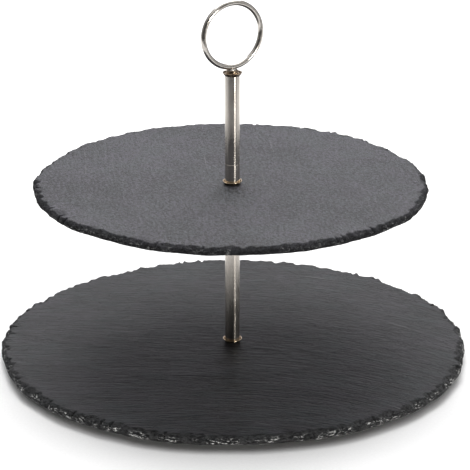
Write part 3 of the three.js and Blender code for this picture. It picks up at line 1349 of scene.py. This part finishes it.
@dataclass
class CupWasher(TurnedPiece):
    """A dished washer pressed from sheet, with a rolled lip."""

    slot: Slot = Slot.NICKEL
    finish: Finish = WARM_NICKEL
    segments: int = 112
    lip: Lip = Lip.UP
    sheet: float = 0.6
    floor_radius: float = 5.0
    hole_radius: float = 2.9

    def section(self, span: Span) -> list[Row]:
        """The pressed sheet, the right way up for its lip.

        Args:
            span: The room its node takes.

        Returns:
            The section's rows.
        """
        height, lip, roll = span.top - span.bottom, span.radius, 0.48 * self.sheet
        corners = [
            Corner(self.hole_radius, 0.0, 0.1),
            Corner(self.floor_radius + 0.1, 0.0, 0.8),
            Corner(lip, height - 0.5 * self.sheet, 0.3),
            Corner(lip - 0.02, height, roll),
            Corner(lip - 0.85 * self.sheet, height, roll),
            Corner(self.floor_radius, self.sheet, 0.35),
            Corner(self.hole_radius, self.sheet, 0.1),
        ]
        rows = rounded(corners, steps=6)
        if self.lip is Lip.UP:
            return [Row(row.radius, span.bottom + row.height) for row in rows]
        return [Row(row.radius, span.top - row.height) for row in reversed(rows)]


@dataclass
class FlatWasher(TurnedPiece):
    """A flat washer or pad with softened edges."""

    fillet: float = 0.08
    hole_radius: float = 2.9

    def section(self, span: Span) -> list[Row]:
        """A plain strip with four soft corners."""
        corners = (
            (self.hole_radius, span.bottom),
            (span.radius, span.bottom),
            (span.radius, span.top),
            (self.hole_radius, span.top),
        )
        return rounded([Corner(*corner, self.fillet) for corner in corners], steps=4)


@dataclass
class Stud(TurnedPiece):
    """A length of threaded rod with chamfered ends."""

    slot: Slot = Slot.ZINC_STEEL
    finish: Finish = ZINC
    segments: int = 48
    chamfer: float = 0.5
    tip: float = 0.2

    def section(self, span: Span) -> list[Row]:
        """From end to end."""
        return [
            Row(0.0, span.bottom),
            Row(THREAD.root - self.tip, span.bottom),
            Row(THREAD.root, span.bottom + self.chamfer / 2),
            *THREAD.rows(span.bottom + self.chamfer, span.top - self.chamfer, Wall.THREAD),
            Row(THREAD.root, span.top - self.chamfer / 2),
            Row(THREAD.root - self.tip, span.top),
            Row(0.0, span.top),
        ]


@dataclass
class BaseBolt(Stud):
    """The low-headed bolt that holds the post to the lower slate from below."""

    segments: int = 96
    head_height: float = 2.0
    head_round: float = 0.7
    socket_width: float = 3.0
    socket_depth: float = 1.2
    plain_shank: float = 1.6

    def section(self, span: Span) -> list[Row]:
        """From the floor of its socket, over the head and up to its tip.

        Args:
            span: The room its node takes.

        Returns:
            The section's rows.
        """
        seat, flat = span.bottom + self.head_height, self.socket_width / 2
        floor, shank_end = span.bottom + self.socket_depth, seat + self.plain_shank
        head = [
            Corner(flat + 1.0, span.bottom),
            Corner(span.radius, span.bottom, self.head_round),
            Corner(span.radius, seat, 0.15),
            Corner(THREAD.crest + 0.3, seat),
        ]
        return [
            Row(0.0, floor + 0.35),
            Row(0.55 * flat, floor + 0.1),
            Row(0.97 * flat, floor, Wall.HEXAGON),
            Row(flat, floor - 0.05, Wall.HEXAGON),
            Row(flat, span.bottom + 0.15, Wall.HEXAGON),
            Row(flat + 0.12, span.bottom, Wall.HEXAGON),
            *rounded(head, closed=False),
            Row(THREAD.crest, seat + 0.3),
            Row(THREAD.crest, shank_end - 0.3),
            Row(THREAD.root, shank_end),
            *THREAD.rows(shank_end + 0.2, span.top - self.chamfer, Wall.THREAD),
            Row(THREAD.root - self.tip, span.top),
            Row(0.0, span.top),
        ]


@dataclass
class Foot(TurnedPiece):
    """A stick-on rubber foot with a moulded dimple underneath, off to the side of the post."""

    slot: Slot = Slot.RUBBER
    finish: Finish = RUBBER
    segments: int = 72
    draft: float = 0.45
    dimple_radius: float = 1.7
    dimple_depth: float = 0.6

    def __post_init__(self) -> None:
        """Reads where the foot is stuck."""
        self.middle = span_of(self.node)[:2]

    def section(self, span: Span) -> list[Row]:
        """From the roof of its dimple round to its flat top.

        Args:
            span: The room its node takes.

        Returns:
            The section's rows.
        """
        roof = span.bottom + self.dimple_depth
        corners = [
            Corner(0.0, roof),
            Corner(self.dimple_radius - 0.4, roof, 0.3),
            Corner(self.dimple_radius, span.bottom, 0.2),
            Corner(span.radius - self.draft, span.bottom, 0.9),
            Corner(span.radius, span.top - 0.7, 0.4),
            Corner(span.radius, span.top, 0.15),
            Corner(0.0, span.top),
        ]
        return rounded(corners, closed=False)


@dataclass
class Collar(TurnedPiece):
    """The turned collar under the ring, with a groove round its middle."""

    slot: Slot = Slot.NICKEL
    finish: Finish = AGED_NICKEL
    segments: int = 112
    groove: float = 0.5
    bore: float = 2.62

    def section(self, span: Span) -> list[Row]:
        """Up the grooved outside and down the bore.

        Args:
            span: The room its node takes.

        Returns:
            The section's rows.
        """
        height, radius = span.top - span.bottom, span.radius
        corners = [
            Corner(self.bore, span.bottom, 0.08),
            Corner(radius, span.bottom, 0.15),
            Corner(radius, span.bottom + 0.34 * height, 0.15),
            Corner(radius - self.groove, span.bottom + 0.5 * height, 0.18),
            Corner(radius, span.bottom + 0.66 * height, 0.15),
            Corner(radius - 0.25, span.top, 0.2),
            Corner(self.bore, span.top, 0.08),
        ]
        return rounded(corners)


@dataclass
class RingHandle:
    """The wire ring and the weld that joins it to its collar. Sizes are in millimetres."""

    node: str = "ring_handle"
    collar: str = "ring_collar"
    body: Body = Body.RING
    wire_radius: float = 1.75
    joint_rise: float = 0.12
    joint_width: float = 1.1
    around: int = 224
    across: int = 48
    bead_length: float = 3.1
    bead_width: float = 2.25
    bead_overlap: float = 0.15
    bead_rise: float = 0.9
    bead_lumps: float = 0.12

    def ring(self) -> Piece:
        """The wire bent into a ring, with the dressed butt joint low down where it is welded.

        Returns:
            The dressed ring.
        """
        low, high = (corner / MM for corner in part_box(self.node))
        middle, reach = (low + high) / 2, (high.z - low.z) / 2 - self.wire_radius
        turns = circle(self.around)
        skin = RingSkin()
        for turn in circle(self.across):
            off_joint = arc_between(turns, -TAU / 4) * reach
            wire = self.wire_radius + self.joint_rise * np.exp(-((off_joint / self.joint_width) ** 2))
            skin.ring(*spun(reach + wire * np.cos(turn), turns), wire * np.sin(turn))
        skin.close()
        for points in skin.points:
            flat_x, flat_y, flat_z = points.T.copy()
            points[:] = np.column_stack([middle.x + flat_x, middle.y - flat_z, middle.z + flat_y])
        ring = skin.make("fine_" + self.node, sharp_degrees=60.0)
        return settle(ring, self.node, self.body, RING_STEEL)

    def weld(self) -> Piece:
        """The bead of weld between ring and collar, longer along the wire and a little lumpy.

        Returns:
            The dressed bead.
        """
        bottom = span_of(self.collar).top - self.bead_overlap
        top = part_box(self.node)[0].z / MM + self.bead_rise
        noise, skin = GradientNoise(seed=41), RingSkin()
        angles = circle(64)
        for level in np.linspace(0.0, 1.0, 14):
            bulge = math.sqrt(1 - (0.82 * level) ** 2)
            lumps = 1 + self.bead_lumps * noise.at(3 * np.cos(angles) + 4 * level, 3 * np.sin(angles))
            x, y = spun(bulge * lumps, angles)
            skin.ring(self.bead_length * x, self.bead_width * y, bottom + level * (top - bottom))
        skin.cap(skin.rings[0], bottom, upward=False)
        skin.cap(skin.rings[-1], top, upward=True)
        return settle(skin.make("ring_weld"), None, self.body, RING_STEEL)


def build_fastenings() -> None:
    """Makes the feet, and the washers, studs and bolt that clamp the slates to the post."""
    pieces = [Foot(f"foot_{number}", Body.BASE) for number in range(1, 5)]
    pieces.append(BaseBolt("base_bolt", Body.BOLT))
    pieces.append(FlatWasher("base_washer", Body.BOLT_WASHER, Slot.ZINC_STEEL, ZINC, fillet=0.2))
    for place in ("base", "lower", "under_tier", "upper"):
        body = Body.UPPER_TIER if place == "upper" else Body.BASE
        pieces.append(FlatWasher(f"{place}_pad_washer", body, Slot.FIBRE, FIBRE))
    pieces += [
        CupWasher("lower_cup_washer", Body.BASE),
        CupWasher("under_tier_cup_washer", Body.BASE, lip=Lip.DOWN),
        CupWasher("upper_cup_washer", Body.POST_WASHER),
        CupWasher("top_cup_washer", Body.RING_WASHER, finish=AGED_NICKEL),
        Stud("joining_stud", Body.BASE),
        Stud("ring_stud", Body.RING),
    ]
    for piece in pieces:
        piece.build()


# --- Studio ---------------------------------------------------------------------------------------


def direction(azimuth: float, elevation: float) -> Vector:
    """The direction from the stand to degrees round it, from -Y by way of +X, and degrees up."""
    turn, lift = math.radians(azimuth), math.radians(elevation)
    return Vector((math.sin(turn) * math.cos(lift), -math.cos(turn) * math.cos(lift), math.sin(lift)))


def hang(name: str, data: bpy.types.ID, aim: Vector, away: Vector, distance: float) -> Piece:
    """Puts a camera or a light in the studio.

    Args:
        name: Its name.
        data: The camera or the light.
        aim: What it faces.
        away: The direction from there to it.
        distance: How far it stands off, in metres.

    Returns:
        The object that holds it.
    """
    made = bpy.data.objects.new(name, data)
    bpy.context.scene.collection.objects.link(made)
    made.location = aim + away * distance
    made.rotation_euler = (-away).to_track_quat("-Z", "Y").to_euler()
    return made


@dataclass(frozen=True)
class SoftLight:
    """A flat soft light that faces the stand. Sizes are in metres, and its power is in watts."""

    name: str
    azimuth: float
    elevation: float
    distance: float
    width: float
    height: float
    power: float
    colour: Colour = (1.0, 1.0, 1.0)

    def build(self, aim: Vector) -> Piece:
        """Hangs the light.

        Args:
            aim: What it faces.

        Returns:
            The light.
        """
        lamp = bpy.data.lights.new(self.name, "AREA")
        lamp.shape = "RECTANGLE"
        lamp.size, lamp.size_y = self.width, self.height
        lamp.energy = self.power
        lamp.color = self.colour
        made = hang(self.name, lamp, aim, direction(self.azimuth, self.elevation), self.distance)
        made.visible_camera = False
        return made


@dataclass(frozen=True)
class Studio:
    """A white room with a dark side behind the camera, soft lights, a paper floor and the camera."""

    camera_azimuth: float = -30.0
    camera_elevation: float = 19.96
    camera_distance: float = 1.444
    lens_mm: float = 173.8
    sensor_mm: float = 36.0
    aim_height: float = 0.0836
    aim_right: float = 0.00165
    floor_radius: float = 0.95
    floor_back: float = 0.41
    room_light: float = 1.0
    sky: Colour = (1.03, 1.03, 1.03)
    backdrop: Colour = (0.99, 0.965, 1.02)
    seen_white: Colour = (1.05, 1.05, 1.05)
    # Places from the camera's side, at 0, to the backdrop, at 1, and how bright the room is there.
    room: tuple[tuple[float, float], ...] = (
        (0.00, 0.12),
        (0.12, 0.16),
        (0.27, 0.60),
        (0.55, 0.75),
        (0.68, 0.22),
        (0.90, 0.15),
        (0.965, 1.0),
    )
    lights: tuple[SoftLight, ...] = (
        SoftLight("overhead_bank", 150.0, 60.0, 1.8, 1.8, 1.3, 38.0),
        SoftLight("side_strip", 9.0, 4.0, 3.4, 0.16, 0.5, 46.0, (1.0, 0.97, 0.92)),
    )

    def build_camera(self) -> None:
        """Sets the camera at the stand's usual viewing angle."""
        data = bpy.data.cameras.new("camera")
        data.sensor_width = self.sensor_mm
        data.lens = self.lens_mm
        data.clip_start, data.clip_end = 0.05, 30.0
        back = direction(self.camera_azimuth, self.camera_elevation)
        aside = direction(self.camera_azimuth + 90.0, 0.0) * self.aim_right
        aim = aside + Vector((0.0, 0.0, self.aim_height))
        bpy.context.scene.camera = hang("camera", data, aim, back, self.camera_distance)

    def build_floor(self) -> None:
        """Lays the paper floor, a wide disc that reaches further behind the stand than in front."""
        skin = RingSkin()
        angles = circle(96)
        for radius in np.geomspace(20.0, self.floor_radius / MM, 14)[::-1]:
            skin.ring(*spun(radius, angles), 0.0)
        skin.cap(skin.rings[-1], 0.0, upward=True)
        behind = -direction(self.camera_azimuth, 0.0) * self.floor_back / MM
        for points in skin.points:
            points += behind
        floor = skin.make("floor_paper")
        floor.data.materials.append(PAPER.material())

    def build_world(self) -> None:
        """Lights the room, from the dark side at the camera to the white backdrop behind the stand."""
        world = bpy.data.worlds.new("room")
        bpy.context.scene.world = world
        world.use_nodes = True
        graph = Graph(world.node_tree)
        towards = graph.add("TexCoord").outputs["Generated"]

        def facing(azimuth: float, elevation: float) -> Socket:
            """How nearly a direction in the room is the given one, from -1 to 1."""
            way = tuple(direction(azimuth, elevation))
            return graph.add("VectorMath", {0: towards, 1: way}, operation="DOT_PRODUCT").outputs["Value"]

        ahead = graph.remap(facing(self.camera_azimuth + 180.0, 0.0), -1.0, 1.0)
        bands = graph.add("ValToRGB", {0: ahead})
        bands.color_ramp.interpolation = "EASE"
        stops = bands.color_ramp.elements
        for place, _ in self.room[1:-1]:
            stops.new(place)
        for stop, (place, brightness) in zip(stops, self.room):
            stop.position = place
            stop.color = (brightness, brightness, brightness, 1.0)
        stops[len(stops) - 1].color = colour4(self.backdrop)
        right = graph.remap(facing(self.camera_azimuth + 90.0, 0.0), -1.0, 0.6, 0.62, 1.0)
        bright = {0: bands.outputs["Color"], "Scale": right}
        walls = graph.add("VectorMath", bright, operation="SCALE").outputs[0]
        whole = graph.blend(graph.remap(facing(0.0, 90.0), 0.45, 0.95), walls, self.sky)
        seen = graph.add("LightPath").outputs["Is Camera Ray"]
        colour = graph.blend(seen, whole, self.seen_white)
        background = graph.add("Background", {"Color": colour, "Strength": self.room_light})
        graph.add("OutputWorld", {"Surface": background.outputs[0]})

    def build(self) -> None:
        """Makes the whole studio."""
        self.build_camera()
        self.build_floor()
        self.build_world()
        low, high = cad_box
        for light in self.lights:
            light.build((low + high) / 2)
        bpy.context.scene.view_settings.view_transform = "Standard"
        log.info("studio with %d lights", len(self.lights))


def main() -> None:
    """Builds the studio and then the stand, from the lower slate up to the ring."""
    logging.basicConfig(level=logging.INFO, format="%(name)s: %(message)s")
    Studio().build()
    notches = ((139.8, 8.0), (144.6, 9.0), (12.0, 5.5))
    Slate("lower_slate", Body.BASE, LOWER_STONE, seed=11, bevel=5.0, notches=notches).build()
    Slate("upper_slate", Body.UPPER_TIER, UPPER_STONE, seed=23, bevel=4.0).build()
    for tube in (Tube("lower_tube", Body.BASE), Tube("upper_tube", Body.UPPER_POST, seam_height=12.5)):
        tube.build()
        for end in ("bottom", "top"):
            ThreadedInsert(f"{tube.node}_{end}_insert", tube.body).build()
    build_fastenings()
    handle = RingHandle()
    handle.ring()
    Collar(handle.collar, handle.body).build()
    handle.weld()


if __name__ == "__main__":
    main()
